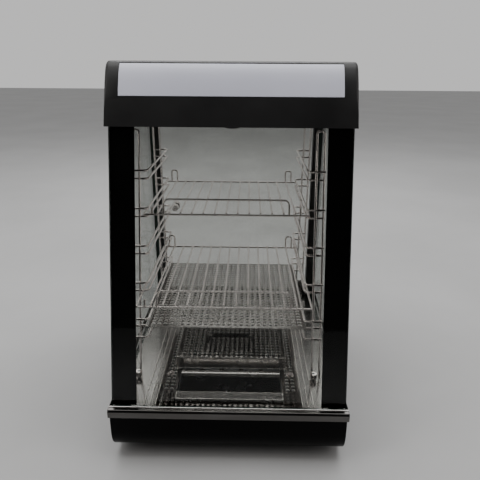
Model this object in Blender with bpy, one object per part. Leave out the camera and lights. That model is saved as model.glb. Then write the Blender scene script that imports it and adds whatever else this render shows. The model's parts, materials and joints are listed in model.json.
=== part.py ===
"""Countertop heated display case: sloping front glass, wire shelves, hinged rear glass door."""
from math import cos, pi, sin

import bmesh
import bpy
from mathutils import Matrix, Vector

# Overall envelope, metres, front of the case toward -Y, feet on z = 0.
HALF_DEPTH = 0.240
HEIGHT = 0.612
GAP = 0.0003
SHEET = 0.0015
PAST = 0.010

# Base cabinet.
FOOT_H = 0.012
FOOT_R = 0.014
FOOT_X = 0.150
FOOT_Y = (-0.165, 0.175)
BASE_HALF_W = 0.1864
BASE_TOP = 0.0828
FASCIA_Y = -0.2392
FASCIA_END_Y = -0.1900
BASE_FRONT_Y = -0.1897
FASCIA_BEND_Z = 0.0555
PANEL_Y = 0.2215
TRIM_HALF_W = 0.1895
TRIM_TOP = 0.097

# Front glass plane: the outer face leans back by SLOPE for every metre of height.
SLOPE = 0.26
GLASS_T = 0.005
GLASS_Y0 = -0.219
GLASS_Z0 = 0.0895
GLASS_BOTTOM = 0.0873
GLASS_HALF_W = 0.1876
GLASS_TOP = 0.530
BORDER_INNER_X = 0.1488
SIDE_GLASS_X = (0.1786, 0.1836)

# Header.
HEADER_HALF_W = 0.190
HEADER_Z0 = 0.5187
HEADER_Y0 = -0.1233
LENS_HALF_W = 0.1685
LENS_Z = (0.562, 0.6092)
CEILING_Z = (0.5205, 0.5220)

# Rear frame and door.
POST_X = (0.1665, 0.1860)
POST_TOP = 0.5200
FRONT_POST_X = (0.1630, 0.1783)
GLASS_TO_POST = 0.0022
FRONT_POST_DEPTH = 0.0150
POST_Y = (0.2000, 0.2180)
DOOR_Y = (0.2200, 0.2250)
DOOR_HALF_W = 0.172
DOOR_Z = (0.093, 0.510)
DOOR_AXIS = (0.1760, 0.2230)
PIN_R = 0.0020
KNOB_X = -0.139
KNOB_Z = 0.2975

# Floor of the heated space.
FLOOR_TOP = 0.0870
FLOOR_HALF_W = 0.1780
FLOOR_Y = (-0.2282, 0.1990)
FLOOR_SHEET = 0.0012
WELL_HALF_W = 0.0885
WELL_Y = (-0.180, 0.120)
WELL_WALL = 0.004
WELL_BOTTOM = 0.040
TROUGH_Y = (-0.1780, -0.1330)
TROUGH_BOTTOM = 0.0560
COVER_HALF_W = 0.0976
COVER_TOP = 0.1110
COVER_Y = (-0.108, 0.124)
COVER_SHEET = 0.001
ELEMENT_Z = 0.066
ELEMENT_R = 0.0040
ELEMENT_X = (0.018, 0.055)

# Wire racks, sitting a little left of the case centre.
RACK_X = -0.0078
RAIL_DX = 0.1355
INNER_DX = 0.1500
OUTER_DX = 0.1630
WIRE_R = 0.0020
RAIL_TOP_Z = 0.4375
RAIL_PITCH = 0.062
RAIL_PAIR = 0.0140
LEVELS = 5
RACK_TOP_Z = 0.503
RACK_FOOT_Z = 0.0895
NUT_Z = (0.0903, 0.1000)
NUT_DX = 0.1530
LEG_OVER_NUT = 0.0010
FOOT_WIRE_Z = 0.159
WELD_OVERLAP = 0.0030

# Wire shelves and the perforated tray.
SHELF_X = -0.0095
SHELF_HALF_W = 0.1405
SHELF_PITCH = 0.0195
SHELF_WIRES = 13
SHELF_R = 0.0017
FENCE_H = 0.0250
UPPER_SHELF = (0.3658, -0.0677, 0.1816)
LOWER_SHELF = (0.2418, -0.1680, 0.1076)
TRAY_Z = (0.1794, 0.1808)
TRAY_Y = (-0.124, 0.163)
TRAY_HALF_W = 0.1385

MATERIALS = {
    "black_coat": ((0.012, 0.012, 0.013), 0.45, 0.0),
    "black_gloss": ((0.004, 0.004, 0.004), 0.15, 0.0),
    "stainless": ((0.56, 0.55, 0.53), 0.30, 1.0),
    "chrome": ((0.78, 0.76, 0.75), 0.12, 1.0),
    "zinc": ((0.50, 0.51, 0.52), 0.45, 1.0),
    "clear_glass": ((0.80, 0.86, 0.82), 0.05, 0.0),
    "opal": ((0.42, 0.43, 0.50), 0.35, 0.0),
    "rubber": ((0.015, 0.015, 0.015), 0.85, 0.0),
    "black_plastic": ((0.014, 0.014, 0.015), 0.40, 0.0),
    "white_plastic": ((0.62, 0.62, 0.60), 0.45, 0.0),
    "red_plastic": ((0.50, 0.02, 0.01), 0.30, 0.0),
    "element": ((0.10, 0.09, 0.085), 0.55, 1.0),
}


def clear_scene():
    for obj in list(bpy.data.objects):
        bpy.data.objects.remove(obj, do_unlink=True)


def material(node, kind):
    color, rough, metal = MATERIALS[kind]
    mat = bpy.data.materials.new(node + "_" + kind)
    mat.use_nodes = True
    shader = mat.node_tree.nodes["Principled BSDF"]
    shader.inputs["Base Color"].default_value = (*color, 1.0)
    shader.inputs["Roughness"].default_value = rough
    shader.inputs["Metallic"].default_value = metal
    mat.diffuse_color = (*color, 1.0)
    return mat


def make(node, bm, kind):
    """Turn finished geometry into a named piece with its own material."""
    bmesh.ops.recalc_face_normals(bm, faces=bm.faces)
    mesh = bpy.data.meshes.new(node)
    bm.to_mesh(mesh)
    bm.free()
    obj = bpy.data.objects.new(node, mesh)
    bpy.context.scene.collection.objects.link(obj)
    if kind:
        mesh.materials.append(material(node, kind))
    return obj


def bake(obj):
    graph = bpy.context.evaluated_depsgraph_get()
    mesh = bpy.data.meshes.new_from_object(obj.evaluated_get(graph))
    obj.modifiers.clear()
    obj.data = mesh


def boolean(obj, bm, operation):
    """Add or remove a volume and keep the result as plain geometry."""
    tool = make("tool", bm, None)
    mod = obj.modifiers.new("shape", "BOOLEAN")
    mod.solver = "EXACT"
    mod.operation = operation
    mod.use_self = True
    mod.object = tool
    bake(obj)
    bpy.data.objects.remove(tool, do_unlink=True)


def prism(bm, profile, axis, lo, hi):
    """Extrude a closed outline along one axis."""
    def place(a, b, t):
        return {"X": (t, a, b), "Y": (a, t, b), "Z": (a, b, t)}[axis]
    low = [bm.verts.new(place(a, b, lo)) for a, b in profile]
    high = [bm.verts.new(place(a, b, hi)) for a, b in profile]
    count = len(profile)
    bm.faces.new(low)
    bm.faces.new(list(reversed(high)))
    for i in range(count):
        j = (i + 1) % count
        bm.faces.new((low[i], high[i], high[j], low[j]))
    return bm


def box(bm, x, y, z):
    return prism(bm, [(x[0], y[0]), (x[1], y[0]), (x[1], y[1]), (x[0], y[1])], "Z", z[0], z[1])


def round_rod(bm, centre, radius, axis, lo, hi, sides=20):
    outline = [(centre[0] + radius * cos(2 * pi * i / sides), centre[1] + radius * sin(2 * pi * i / sides))
               for i in range(sides)]
    return prism(bm, outline, axis, lo, hi)


def fillet_path(points, radius, steps=3):
    """Round every inner corner of a wire path."""
    path = [Vector(points[0])]
    for before, corner, after in zip(points, points[1:], points[2:]):
        corner = Vector(corner)
        into = (Vector(before) - corner)
        out = (Vector(after) - corner)
        reach = min(radius, into.length * 0.48, out.length * 0.48)
        start = corner + into.normalized() * reach
        end = corner + out.normalized() * reach
        for k in range(steps + 1):
            t = k / steps
            path.append(start * (1 - t) ** 2 + corner * 2 * t * (1 - t) + end * t ** 2)
    path.append(Vector(points[-1]))
    return path


def wire(bm, points, radius, sides=6, bend=0.005):
    """Sweep a round wire along a path with flat ends."""
    path = fillet_path(points, bend) if len(points) > 2 else [Vector(p) for p in points]
    rings = []
    side = None
    for i, point in enumerate(path):
        ahead = path[min(i + 1, len(path) - 1)] - point
        behind = point - path[max(i - 1, 0)]
        along = (ahead.normalized() if ahead.length else behind.normalized())
        if 0 < i < len(path) - 1:
            along = (ahead.normalized() + behind.normalized()).normalized()
        if side is None:
            helper = Vector((0, 0, 1)) if abs(along.z) < 0.9 else Vector((1, 0, 0))
            side = along.cross(helper).normalized()
        side = (side - along * side.dot(along)).normalized()
        other = along.cross(side)
        ring = []
        for k in range(sides):
            angle = 2 * pi * (k + 0.5) / sides
            ring.append(bm.verts.new(point + (side * cos(angle) + other * sin(angle)) * radius))
        rings.append(ring)
    bm.faces.new(rings[0])
    bm.faces.new(list(reversed(rings[-1])))
    for one, two in zip(rings, rings[1:]):
        for k in range(sides):
            n = (k + 1) % sides
            bm.faces.new((one[k], two[k], two[n], one[n]))
    return bm


def welded(node, paths, radius, kind, bend=0.005, sides=6):
    """Fuse a set of touching wires into one body."""
    body = make(node, wire(bmesh.new(), paths[0], radius, sides, bend), kind)
    for path in paths[1:]:
        boolean(body, wire(bmesh.new(), path, radius, sides, bend), "UNION")
    return body


def simple_box(node, x, y, z, kind):
    return make(node, box(bmesh.new(), x, y, z), kind)


def glass_outer(z):
    return GLASS_Y0 + SLOPE * (z - GLASS_Z0)


def glass_inner(z):
    return glass_outer(z) + GLASS_T * (1 + SLOPE ** 2) ** 0.5


def sloped(z0, z1, near, far):
    """Outline lying along the front glass, measured back from its inner face."""
    return [(glass_inner(z0) + near, z0), (glass_inner(z1) + near, z1),
            (glass_inner(z1) + far, z1), (glass_inner(z0) + far, z0)]


def mirrored(pair, side):
    return (pair[0], pair[1]) if side > 0 else (-pair[1], -pair[0])


def side_name(side):
    return "right" if side > 0 else "left"


# ---------------------------------------------------------------- base cabinet

def fascia_arc(offset, steps=7):
    """Lower front curve of the base, inset by the sheet thickness."""
    back = 0.0392 - offset
    drop = FASCIA_BEND_Z - (FOOT_H + GAP) - offset
    points = []
    for i in range(steps + 1):
        angle = pi / 2 * i / steps
        points.append((-0.2000 - back * cos(angle), FASCIA_BEND_Z - drop * sin(angle)))
    return points


def build_fascia():
    outer = [(FASCIA_Y, BASE_TOP)] + fascia_arc(0.0) + [(FASCIA_END_Y, FOOT_H + GAP)]
    inner = [(FASCIA_END_Y, FOOT_H + GAP + 0.002)] + list(reversed(fascia_arc(0.002)))
    inner.append((FASCIA_Y + 0.002, BASE_TOP))
    body = make("front_fascia", prism(bmesh.new(), outer + inner, "X", -BASE_HALF_W, BASE_HALF_W),
                "black_gloss")
    for side in (-1, 1):
        cheek = fascia_arc(0.001) + [(FASCIA_END_Y, FOOT_H + GAP + 0.001), (FASCIA_END_Y, BASE_TOP),
                                     (FASCIA_Y + 0.001, BASE_TOP)]
        x = mirrored((BASE_HALF_W - 0.0018, BASE_HALF_W), side)
        boolean(body, prism(bmesh.new(), cheek, "X", x[0], x[1]), "UNION")


def build_base_side(side):
    x = mirrored((BASE_HALF_W - SHEET, BASE_HALF_W), side)
    outline = (x, (BASE_FRONT_Y, PANEL_Y - SHEET - GAP), (FOOT_H + GAP, BASE_TOP))
    body = make("base_side_" + side_name(side), box(bmesh.new(), *outline), "black_coat")
    ledge = mirrored((0.1600, BASE_HALF_W - 0.0005), side)
    boolean(body, box(bmesh.new(), ledge, outline[1], (BASE_TOP - SHEET, BASE_TOP)), "UNION")


def build_bottom_plate():
    edge = BASE_HALF_W - SHEET - GAP
    body = simple_box("bottom_plate", (-edge, edge), (BASE_FRONT_Y, PANEL_Y - SHEET - GAP),
                      (FOOT_H + GAP, FOOT_H + GAP + SHEET), "zinc")
    for column in (-0.05, 0.0, 0.05):
        for row in range(5):
            y = -0.06 + 0.02 * row
            boolean(body, box(bmesh.new(), (column - 0.018, column + 0.018), (y, y + 0.004), (0.0, 0.03)),
                    "DIFFERENCE")


def build_feet():
    names = (("front", FOOT_Y[0]), ("rear", FOOT_Y[1]))
    for row, y in names:
        for side in (-1, 1):
            bm = bmesh.new()
            round_rod(bm, (side * FOOT_X, y), FOOT_R, "Z", 0.0, FOOT_H)
            make("foot_" + row + "_" + side_name(side), bm, "rubber")


def build_trim():
    """Bright folded strip round the top edge of the base."""
    profile = [(-HALF_DEPTH, BASE_TOP + GAP), (-HALF_DEPTH, 0.0935), (-0.2378, TRIM_TOP),
               (-0.2285, TRIM_TOP), (-0.2285, BASE_TOP + GAP)]
    body = make("trim_ledge", prism(bmesh.new(), profile, "X", -TRIM_HALF_W, TRIM_HALF_W), "stainless")
    for side in (-1, 1):
        x = mirrored((GLASS_HALF_W + 0.0005, TRIM_HALF_W), side)
        boolean(body, box(bmesh.new(), x, (-0.2300, 0.2190), (BASE_TOP + GAP, TRIM_TOP)), "UNION")


def build_floor():
    x0, x1 = -FLOOR_HALF_W, FLOOR_HALF_W
    floor = simple_box("floor_pan", (x0, x1), FLOOR_Y, (FLOOR_TOP - FLOOR_SHEET, FLOOR_TOP), "stainless")
    for side in (-1, 1):
        x = mirrored((FLOOR_HALF_W - FLOOR_SHEET, FLOOR_HALF_W), side)
        boolean(floor, box(bmesh.new(), x, FLOOR_Y, (BASE_TOP + GAP, FLOOR_TOP - 0.0004)), "UNION")
    boolean(floor, box(bmesh.new(), (-WELL_HALF_W, WELL_HALF_W), WELL_Y, (0.05, 0.12)), "DIFFERENCE")


def build_well():
    """Open sheet box under the floor opening that carries the heater."""
    x = WELL_HALF_W + WELL_WALL
    y0, y1 = WELL_Y[0] - WELL_WALL, WELL_Y[1] + WELL_WALL
    top = FLOOR_TOP - FLOOR_SHEET - GAP
    body = simple_box("heater_well", (-x, x), (y0, y1), (WELL_BOTTOM, top), "zinc")
    inner = (-x + 0.001, x - 0.001)
    boolean(body, box(bmesh.new(), inner, (y0 + 0.001, y1 - 0.001), (WELL_BOTTOM + 0.001, 0.10)),
            "DIFFERENCE")
    for x_hole in (-ELEMENT_X[1], ELEMENT_X[1]):
        hole = round_rod(bmesh.new(), (x_hole, ELEMENT_Z), ELEMENT_R + 0.0006, "Y", y1 - 0.01, y1 + 0.01, 16)
        boolean(body, hole, "DIFFERENCE")
    support_z = (FOOT_H + 2 * GAP + SHEET, WELL_BOTTOM - GAP)
    support = simple_box("well_support", (-0.012, 0.012), (y0 + 0.03, y1 - 0.03), support_z, "zinc")
    boolean(support, box(bmesh.new(), (-0.012 + SHEET, 0.012 - SHEET), (y0, y1),
                         (support_z[0] - PAST, support_z[1] - SHEET)), "DIFFERENCE")


def build_water_trough():
    """Humidity trough with a flat front lip and a rolled rear edge."""
    x = WELL_HALF_W - 0.002
    body = simple_box("water_trough", (-x, x), TROUGH_Y, (TROUGH_BOTTOM, FLOOR_TOP + 0.001), "stainless")
    inner_y = (TROUGH_Y[0] + 0.001, TROUGH_Y[1] - 0.001)
    boolean(body, box(bmesh.new(), (-x + 0.001, x - 0.001), inner_y, (TROUGH_BOTTOM + 0.001, 0.12)),
            "DIFFERENCE")
    lip = (FLOOR_TOP + GAP, FLOOR_TOP + 0.0050)
    boolean(body, box(bmesh.new(), (-WELL_HALF_W, WELL_HALF_W), (-0.1995, -0.1815), lip), "UNION")
    boolean(body, box(bmesh.new(), (-x, x), (-0.1825, -0.1772), (FLOOR_TOP + GAP, FLOOR_TOP + 0.0015)),
            "UNION")
    boolean(body, round_rod(bmesh.new(), (-0.1270, 0.0880), 0.0072, "X", -x, x, 16), "UNION")


def build_element_cover():
    half, top, y, sheet = COVER_HALF_W, COVER_TOP, COVER_Y, COVER_SHEET
    body = simple_box("element_cover", (-half, half), y, (FLOOR_TOP + GAP, top), "stainless")
    boolean(body, box(bmesh.new(), (-half + sheet, half - sheet), (y[0] + sheet, y[1] - sheet),
                      (0.05, top - sheet)), "DIFFERENCE")
    recess = ((-0.045, 0.039), (-0.086, -0.025))
    drop = bmesh.new()
    box(drop, (recess[0][0] - sheet, recess[0][1] + sheet), (recess[1][0] - sheet, recess[1][1] + sheet),
        (top - 0.0050, top - 0.0005))
    boolean(body, drop, "UNION")
    boolean(body, box(bmesh.new(), recess[0], recess[1], (top - 0.0040, top + 0.01)), "DIFFERENCE")


def build_heater():
    z = ELEMENT_Z
    near, far = ELEMENT_X
    path = [(-far, 0.140, z), (-far, -0.095, z), (-near, -0.095, z), (-near, 0.085, z),
            (near, 0.085, z), (near, -0.095, z), (far, -0.095, z), (far, 0.140, z)]
    make("heating_element", wire(bmesh.new(), path, ELEMENT_R, 10, 0.016), "element")
    simple_box("element_bracket", (-0.070, 0.070), (-0.0015, 0.0015), (0.0413, z - 0.0043), "zinc")


# ---------------------------------------------------------------- rear controls

CONTROL_Z = 0.048
KNOB_CENTRE_X = -0.115
SWITCH_X = {"heat": -0.055, "light": -0.020}
LAMP_X = 0.015
GLAND = (0.140, 0.034)


def build_control_panel():
    edge = BASE_HALF_W - GAP
    y0, y1 = PANEL_Y - SHEET, PANEL_Y
    body = simple_box("control_panel", (-edge, edge), (y0, y1), (FOOT_H + GAP, BASE_TOP), "black_coat")
    through = (y0 - 0.01, y1 + 0.01)
    holes = (((KNOB_CENTRE_X, CONTROL_Z), 0.0045), ((LAMP_X, CONTROL_Z), 0.0055), (GLAND, 0.0090))
    for centre, radius in holes:
        boolean(body, round_rod(bmesh.new(), centre, radius, "Y", *through), "DIFFERENCE")
    for x in SWITCH_X.values():
        boolean(body, box(bmesh.new(), (x - 0.0097, x + 0.0097), through,
                          (CONTROL_Z - 0.0137, CONTROL_Z + 0.0137)), "DIFFERENCE")
    for row in range(6):
        z = 0.030 + 0.007 * row
        boolean(body, box(bmesh.new(), (0.050, 0.100), through, (z, z + 0.003)), "DIFFERENCE")


def build_thermostat():
    y0 = PANEL_Y - SHEET - GAP
    centre = (KNOB_CENTRE_X, CONTROL_Z)
    thermostat = simple_box("thermostat_body", (centre[0] - 0.019, centre[0] + 0.019), (y0 - 0.028, y0),
                            (CONTROL_Z - 0.019, CONTROL_Z + 0.019), "white_plastic")
    boolean(thermostat, round_rod(bmesh.new(), centre, 0.0038, "Y", y0 - 0.012, y0 + 0.01), "DIFFERENCE")
    make("thermostat_shaft", round_rod(bmesh.new(), centre, 0.0030, "Y", y0 - 0.010, PANEL_Y + 0.0120),
         "zinc")
    knob = make("thermostat_knob", round_rod(bmesh.new(), centre, 0.0150, "Y", PANEL_Y + 0.0010,
                                             PANEL_Y + 0.0160, 32), "black_plastic")
    boolean(knob, round_rod(bmesh.new(), centre, 0.0033, "Y", PANEL_Y - 0.01, PANEL_Y + 0.0125),
            "DIFFERENCE")
    pointer = box(bmesh.new(), (centre[0] - 0.0010, centre[0] + 0.0010), (PANEL_Y + 0.0150, PANEL_Y + 0.02),
                  (CONTROL_Z + 0.003, CONTROL_Z + 0.020))
    boolean(knob, pointer, "DIFFERENCE")
    move_origin(bpy.data.objects["thermostat_knob"], (centre[0], PANEL_Y, CONTROL_Z))
    move_origin(bpy.data.objects["thermostat_shaft"], (centre[0], PANEL_Y, CONTROL_Z))


def build_switch(name, x):
    z = CONTROL_Z
    y0 = PANEL_Y - 0.018
    flange_y = (PANEL_Y + GAP, PANEL_Y + 0.0025)
    housing = simple_box("switch_housing_" + name, (x - 0.0094, x + 0.0094), (y0, flange_y[1]),
                         (z - 0.0134, z + 0.0134), "black_plastic")
    boolean(housing, box(bmesh.new(), (x - 0.0115, x + 0.0115), flange_y, (z - 0.0155, z + 0.0155)), "UNION")
    boolean(housing, box(bmesh.new(), (x - 0.0075, x + 0.0075), (PANEL_Y - 0.012, PANEL_Y + 0.02),
                         (z - 0.0112, z + 0.0112)), "DIFFERENCE")
    outline = [(PANEL_Y - 0.0030, z - 0.0106), (PANEL_Y + 0.0042, z - 0.0102), (PANEL_Y + 0.0028, z),
               (PANEL_Y + 0.0042, z + 0.0102), (PANEL_Y - 0.0030, z + 0.0106)]
    rocker = make("switch_rocker_" + name, prism(bmesh.new(), outline, "X", x - 0.0072, x + 0.0072),
                  "red_plastic" if name == "heat" else "black_plastic")
    move_origin(rocker, (x, PANEL_Y, z))


def build_electrics():
    bm = bmesh.new()
    round_rod(bm, (LAMP_X, CONTROL_Z), 0.0051, "Y", PANEL_Y - 0.020, PANEL_Y + 0.0010, 20)
    lamp = make("indicator_lamp", bm, "red_plastic")
    boolean(lamp, round_rod(bmesh.new(), (LAMP_X, CONTROL_Z), 0.0068, "Y", PANEL_Y + GAP, PANEL_Y + 0.0040),
            "UNION")
    bm = bmesh.new()
    round_rod(bm, GLAND, 0.0086, "Y", PANEL_Y - 0.010, PANEL_Y + 0.0010, 24)
    gland = make("cord_gland", bm, "black_plastic")
    boolean(gland, round_rod(bmesh.new(), GLAND, 0.0120, "Y", PANEL_Y + GAP, PANEL_Y + 0.0120, 24), "UNION")
    boolean(gland, round_rod(bmesh.new(), GLAND, 0.0042, "Y", PANEL_Y - 0.02, PANEL_Y + 0.03, 20),
            "DIFFERENCE")
    z = FOOT_H + 2 * GAP + SHEET
    simple_box("terminal_block", (0.120, 0.165), (0.150, 0.168), (z, z + 0.018), "white_plastic")


# ---------------------------------------------------------------- header

def header_outline(inset):
    """Side outline of the header, optionally moved inward."""
    face = [(HEADER_Y0 + inset, HEADER_Z0), (-0.1120 + inset, 0.5620), (-0.1035 + inset, 0.5830),
            (-0.0930 + inset, 0.6020 - inset * 0.4), (-0.0860 + inset, 0.6090 - inset * 0.8)]
    top = [(-0.0790 + inset, HEIGHT - inset), (HALF_DEPTH - 0.008, HEIGHT - inset),
           (HALF_DEPTH - 0.002 - inset, HEIGHT - 0.003 - inset * 0.5), (HALF_DEPTH - inset, HEIGHT - 0.010),
           (HALF_DEPTH - inset, HEADER_Z0)]
    return face + top


def round_header_ends(obj):
    """Soften the long top edges where the header meets its ends."""
    mod = obj.modifiers.new("edge", "BEVEL")
    mod.width = 0.0055
    mod.segments = 3
    mod.limit_method = "WEIGHT"
    mesh = obj.data
    weights = mesh.attributes.new("bevel_weight_edge", "FLOAT", "EDGE")
    for edge in mesh.edges:
        a, b = (mesh.vertices[i].co for i in edge.vertices)
        high = min(a.z, b.z) > 0.560
        at_end = abs(abs(a.x) - HEADER_HALF_W) < 1e-5 and abs(a.x - b.x) < 1e-5
        if high and at_end:
            weights.data[edge.index].value = 1.0
    bake(obj)


def build_header():
    shell = make("header_shell", prism(bmesh.new(), header_outline(0.0), "X", -HEADER_HALF_W, HEADER_HALF_W),
                 "black_coat")
    round_header_ends(shell)
    cavity = header_outline(0.002)
    cavity[0] = (cavity[0][0], HEADER_Z0 - 0.01)
    cavity[-1] = (cavity[-1][0], HEADER_Z0 - 0.01)
    boolean(shell, prism(bmesh.new(), cavity, "X", -HEADER_HALF_W + 0.006, HEADER_HALF_W - 0.006),
            "DIFFERENCE")
    lower = [(HEADER_Y0 + 0.002, HEADER_Z0 - 0.01), (HEADER_Y0 + 0.010, 0.5500),
             (HALF_DEPTH - 0.002, 0.5500), (HALF_DEPTH - 0.002, HEADER_Z0 - 0.01)]
    boolean(shell, prism(bmesh.new(), lower, "X", -HEADER_HALF_W + 0.002, HEADER_HALF_W - 0.002),
            "DIFFERENCE")
    boolean(shell, box(bmesh.new(), (-HEADER_HALF_W + 0.002, HEADER_HALF_W - 0.002),
                       (-0.0800, HALF_DEPTH - 0.002), (0.5490, 0.6045)), "DIFFERENCE")
    window = [(-0.1300, LENS_Z[0]), (-0.1000, LENS_Z[0]), (-0.0780, 0.6000), (-0.0845, LENS_Z[1]),
              (-0.1300, LENS_Z[1])]
    boolean(shell, prism(bmesh.new(), window, "X", -LENS_HALF_W, LENS_HALF_W), "DIFFERENCE")


def build_lens():
    front = [(-0.1118, LENS_Z[0] + 0.0004), (-0.1034, 0.5830), (-0.0929, 0.6018),
             (-0.0868, LENS_Z[1] - 0.0010)]
    back = [(y + 0.0022, z - 0.0004) for y, z in reversed(front)]
    back[-1] = (front[0][0] + 0.0022, front[0][1])
    edge = LENS_HALF_W - 0.0004
    make("light_diffuser", prism(bmesh.new(), front + back, "X", -edge, edge), "opal")


def build_header_inside():
    simple_box("header_ceiling", (-0.1873, 0.1873), (-0.0993, HALF_DEPTH - 0.0023), CEILING_Z, "stainless")
    retainer = simple_box("glass_retainer", (-0.1837, 0.1837), (-0.1182, -0.1078), (0.5200, 0.5215),
                          "black_coat")
    tab = []
    for i in range(9):
        angle = pi * i / 8
        tab.append((0.002 + 0.012 * cos(angle), 0.5188 - 0.0024 * sin(angle)))
    tab += [(-0.010, 0.5210), (0.014, 0.5210)]
    boolean(retainer, prism(bmesh.new(), tab, "Y", -0.1182, -0.1160), "UNION")
    base = CEILING_Z[1] + GAP
    make("light_tube", round_rod(bmesh.new(), (-0.0800, 0.5790), 0.0080, "X", -0.1496, 0.1496, 16), "opal")
    for side in (-1, 1):
        x = mirrored((0.1500, 0.1580), side)
        simple_box("lamp_holder_" + side_name(side), x, (-0.0920, -0.0690), (base, 0.5900), "white_plastic")
    reflector = [(-0.0660, base), (-0.0560, base), (-0.0560, base + 0.001), (-0.0650, base + 0.001),
                 (-0.0650, 0.6000), (-0.0660, 0.6000)]
    make("light_reflector", prism(bmesh.new(), reflector, "X", -0.1600, 0.1600), "white_plastic")


# ---------------------------------------------------------------- glazing

def build_front_glass():
    outline = [(glass_outer(GLASS_BOTTOM), GLASS_BOTTOM), (glass_outer(GLASS_TOP), GLASS_TOP),
               (glass_inner(GLASS_TOP), GLASS_TOP), (glass_inner(GLASS_BOTTOM), GLASS_BOTTOM)]
    make("front_glass", prism(bmesh.new(), outline, "X", -GLASS_HALF_W, GLASS_HALF_W), "clear_glass")
    for side in (-1, 1):
        x = mirrored((BORDER_INNER_X, GLASS_HALF_W), side)
        strip = sloped(GLASS_BOTTOM + 0.001, GLASS_TOP - 0.002, GAP, GAP + 0.0008)
        make("glass_border_" + side_name(side), prism(bmesh.new(), strip, "X", *x), "black_gloss")


def build_side_glazing(side):
    name = side_name(side)
    rear = POST_Y[0] - GAP
    foot = BASE_TOP + GAP
    pane = [(glass_inner(foot) + GLASS_TO_POST, foot), (glass_inner(POST_TOP) + GLASS_TO_POST, POST_TOP),
            (rear, POST_TOP), (rear, foot)]
    make("side_glass_" + name, prism(bmesh.new(), pane, "X", *mirrored(SIDE_GLASS_X, side)), "clear_glass")
    post = sloped(FLOOR_TOP + GAP, POST_TOP, GLASS_TO_POST, FRONT_POST_DEPTH)
    x = mirrored(FRONT_POST_X, side)
    front = make("front_post_" + name, prism(bmesh.new(), post, "X", *x), "black_coat")
    bore = sloped(FLOOR_TOP - PAST, POST_TOP + PAST, GLASS_TO_POST + SHEET, FRONT_POST_DEPTH - SHEET)
    boolean(front, prism(bmesh.new(), bore, "X", x[0] + SHEET, x[1] - SHEET), "DIFFERENCE")
    x = mirrored(POST_X, side)
    back = simple_box("rear_post_" + name, x, POST_Y, (BASE_TOP + GAP, POST_TOP), "black_coat")
    boolean(back, box(bmesh.new(), (x[0] + SHEET, x[1] - SHEET), (POST_Y[0] + SHEET, POST_Y[1] - SHEET),
                      (BASE_TOP - PAST, POST_TOP + PAST)), "DIFFERENCE")


def build_rear_rails():
    """Cross rails; each carries a bored ear that takes a pin of the door."""
    edge = POST_X[0] - GAP
    rails = (("top", (0.5000, POST_TOP), (0.5110, 0.5140), (0.5000 + SHEET, POST_TOP + PAST)),
             ("bottom", (BASE_TOP + GAP, 0.1000), (BASE_TOP + 0.0052, BASE_TOP + 0.0077),
              (BASE_TOP - PAST, 0.1000 - SHEET)))
    for name, z, ear_z, channel_z in rails:
        rail = simple_box("rear_rail_" + name, (-edge, edge), POST_Y, z, "black_coat")
        boolean(rail, box(bmesh.new(), (-edge + SHEET, edge - SHEET), (POST_Y[0] + SHEET, POST_Y[1] - SHEET),
                          channel_z), "DIFFERENCE")
        boolean(rail, box(bmesh.new(), (0.1500, edge), (POST_Y[1] - 0.004, 0.2290), ear_z), "UNION")
        boolean(rail, box(bmesh.new(), (0.1560, 0.1832), (POST_Y[1] + GAP, 0.2290), ear_z), "UNION")
        boolean(rail, round_rod(bmesh.new(), DOOR_AXIS, PIN_R + 0.00008, "Z", ear_z[0] - 0.001,
                                ear_z[1] + 0.001, 14), "DIFFERENCE")


def build_door():
    x_hinge, y_hinge = DOOR_AXIS
    pane = simple_box("rear_door_glass", (-DOOR_HALF_W, DOOR_HALF_W), DOOR_Y, DOOR_Z, "clear_glass")
    boolean(pane, round_rod(bmesh.new(), (KNOB_X, KNOB_Z), 0.0030, "Y", 0.21, 0.23, 16), "DIFFERENCE")
    for name, z0, z1, pin in (("lower", DOOR_Z[0] + 0.001, DOOR_Z[0] + 0.021, (0.0895, 0.1000)),
                              ("upper", DOOR_Z[1] - 0.021, DOOR_Z[1] - 0.001, (0.5040, 0.5145))):
        clamp = simple_box("door_clamp_" + name, (0.1500, 0.1782), (DOOR_Y[0] - 0.0013, DOOR_Y[1] + 0.0015),
                           (z0, z1), "chrome")
        slot = (0.1490, DOOR_HALF_W + GAP)
        boolean(clamp, box(bmesh.new(), slot, (DOOR_Y[0] - GAP, DOOR_Y[1] + GAP), (z0 - 0.01, z1 + 0.01)),
                "DIFFERENCE")
        boolean(clamp, round_rod(bmesh.new(), DOOR_AXIS, PIN_R, "Z", *pin, 14), "UNION")
        move_origin(clamp, (x_hinge, y_hinge, 0.0))
    move_origin(pane, (x_hinge, y_hinge, 0.0))
    inner = make("door_knob_inner", round_rod(bmesh.new(), (KNOB_X, KNOB_Z), 0.0075, "Y", 0.2060,
                                              DOOR_Y[0] - GAP), "chrome")
    boolean(inner, round_rod(bmesh.new(), (KNOB_X, KNOB_Z), 0.0015, "Y", 0.2100, 0.2300, 12), "DIFFERENCE")
    outer = make("door_knob_outer", round_rod(bmesh.new(), (KNOB_X, KNOB_Z), 0.0090, "Y",
                                              DOOR_Y[1] + GAP, 0.2395), "chrome")
    boolean(outer, round_rod(bmesh.new(), (KNOB_X, KNOB_Z), 0.0012, "Y", 0.2115, 0.2300, 12), "UNION")
    for name in ("door_knob_inner", "door_knob_outer"):
        move_origin(bpy.data.objects[name], (x_hinge, y_hinge, 0.0))


# ---------------------------------------------------------------- racks and shelves

def rack_front(z):
    return -0.050 + SLOPE * (z - RAIL_TOP_Z)


def rack_rear(z):
    return 0.166 + 0.048 * (RAIL_TOP_Z - z)


def rail_wire(side, z, front_z):
    rail = RACK_X + side * RAIL_DX
    out = RACK_X + side * (OUTER_DX + 0.0030)
    front, rear = rack_front(front_z), rack_rear(front_z)
    return [(out, front, z), (rail, front, z), (rail, rear, z), (out, rear, z)]


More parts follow.
